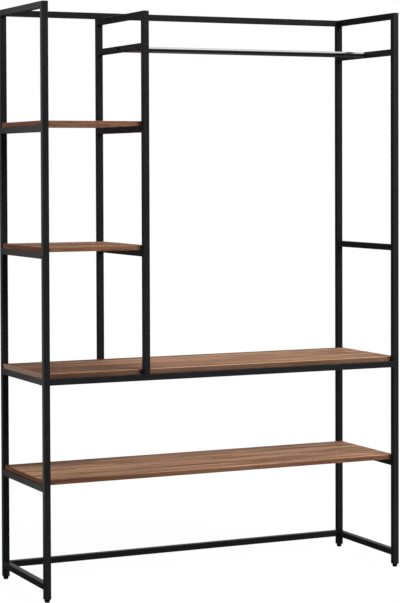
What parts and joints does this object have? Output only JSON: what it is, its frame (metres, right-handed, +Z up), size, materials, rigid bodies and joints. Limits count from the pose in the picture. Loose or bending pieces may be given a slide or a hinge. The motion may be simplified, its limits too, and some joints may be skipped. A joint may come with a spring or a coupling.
{
  "type": "open frame wardrobe",
  "caption": "Open wardrobe of black square steel tube with walnut boards, a narrow shelf column beside a hanging rod, full-width shelves below and screw levelling feet",
  "frame": {"origin": "on the floor under the middle of the wardrobe, midway between its sides and between front and back", "axes": "+Z up, +X to the right seen from the front, +Y to the back"},
  "size_m": [1.25, 0.4, 1.835],
  "materials": {
    "frame_paint": "matt black powder coat on square steel tube",
    "walnut_board": "walnut veneered board with edging, satin",
    "rod_chrome": "bright plated steel tube",
    "screw_steel": "zinc plated screws",
    "spigot_steel": "plain steel, hidden inside the tubes",
    "foot_steel": "blackened steel",
    "insert_plastic": "black moulded plastic",
    "pad_plastic": "black moulded plastic"
  },
  "bodies": {
    "frame": {"back_foot_rail": "frame_paint", "back_main_rail": "frame_paint", "back_top_rail": "frame_paint", "divider_back_post": "frame_paint", "divider_front_post": "frame_paint", "divider_hanging_rail": "frame_paint", "divider_middle_shelf_rail": "frame_paint", "divider_spigots": "spigot_steel", "divider_top_rail": "frame_paint", "divider_upper_shelf_rail": "frame_paint", "front_main_rail": "frame_paint", "hanging_rod": "rod_chrome", "hanging_rod_plugs": "insert_plastic", "hanging_rod_screws": "screw_steel", "left_back_foot_insert": "insert_plastic", "left_back_post": "frame_paint", "left_foot_rail": "frame_paint", "left_front_foot_insert": "insert_plastic", "left_front_post": "frame_paint", "left_lower_shelf_rail": "frame_paint", "left_main_shelf_rail": "frame_paint", "left_middle_shelf_rail": "frame_paint", "left_top_rail": "frame_paint", "left_upper_shelf_rail": "frame_paint", "long_rail_spigots": "spigot_steel", "lower_shelf": "walnut_board", "lower_shelf_screws": "screw_steel", "main_shelf": "walnut_board", "main_shelf_screws": "screw_steel", "middle_shelf": "walnut_board", "middle_shelf_screws": "screw_steel", "right_back_foot_insert": "insert_plastic", "right_back_post": "frame_paint", "right_foot_rail": "frame_paint", "right_front_foot_insert": "insert_plastic", "right_front_post": "frame_paint", "right_hanging_rail": "frame_paint", "right_lower_shelf_rail": "frame_paint", "right_main_shelf_rail": "frame_paint", "right_middle_rail": "frame_paint", "right_top_rail": "frame_paint", "upper_shelf": "walnut_board", "upper_shelf_screws": "screw_steel"},
    "left_front_pad": {"left_front_foot_pad": "pad_plastic"},
    "left_front_screw": {"left_front_foot_screw": "foot_steel"},
    "left_back_pad": {"left_back_foot_pad": "pad_plastic"},
    "left_back_screw": {"left_back_foot_screw": "foot_steel"},
    "right_front_pad": {"right_front_foot_pad": "pad_plastic"},
    "right_front_screw": {"right_front_foot_screw": "foot_steel"},
    "right_back_pad": {"right_back_foot_pad": "pad_plastic"},
    "right_back_screw": {"right_back_foot_screw": "foot_steel"}
  },
  "joints": [
    {"name": "left_front_foot_travel", "type": "slide", "parent": "frame", "child": "left_front_pad", "axis": [0, 0, -1], "range_m": [0, 0.01]},
    {"name": "left_front_foot_turn", "type": "hinge", "parent": "left_front_pad", "child": "left_front_screw", "pos_m": [-0.615, -0.19, 0.02], "axis": [0, 0, -1], "range_deg": [0, 2880]},
    {"name": "left_back_foot_travel", "type": "slide", "parent": "frame", "child": "left_back_pad", "axis": [0, 0, -1], "range_m": [0, 0.01]},
    {"name": "left_back_foot_turn", "type": "hinge", "parent": "left_back_pad", "child": "left_back_screw", "pos_m": [-0.615, 0.19, 0.02], "axis": [0, 0, -1], "range_deg": [0, 2880]},
    {"name": "right_front_foot_travel", "type": "slide", "parent": "frame", "child": "right_front_pad", "axis": [0, 0, -1], "range_m": [0, 0.01]},
    {"name": "right_front_foot_turn", "type": "hinge", "parent": "right_front_pad", "child": "right_front_screw", "pos_m": [0.615, -0.19, 0.02], "axis": [0, 0, -1], "range_deg": [0, 2880]},
    {"name": "right_back_foot_travel", "type": "slide", "parent": "frame", "child": "right_back_pad", "axis": [0, 0, -1], "range_m": [0, 0.01]},
    {"name": "right_back_foot_turn", "type": "hinge", "parent": "right_back_pad", "child": "right_back_screw", "pos_m": [0.615, 0.19, 0.02], "axis": [0, 0, -1], "range_deg": [0, 2880]}
  ],
  "couplings": [
    {"joint": "left_front_foot_turn", "follows": "left_front_foot_travel", "rad_per_m": 5026.5},
    {"joint": "left_back_foot_turn", "follows": "left_back_foot_travel", "rad_per_m": 5026.5},
    {"joint": "right_front_foot_turn", "follows": "right_front_foot_travel", "rad_per_m": 5026.5},
    {"joint": "right_back_foot_turn", "follows": "right_back_foot_travel", "rad_per_m": 5026.5}
  ]
}
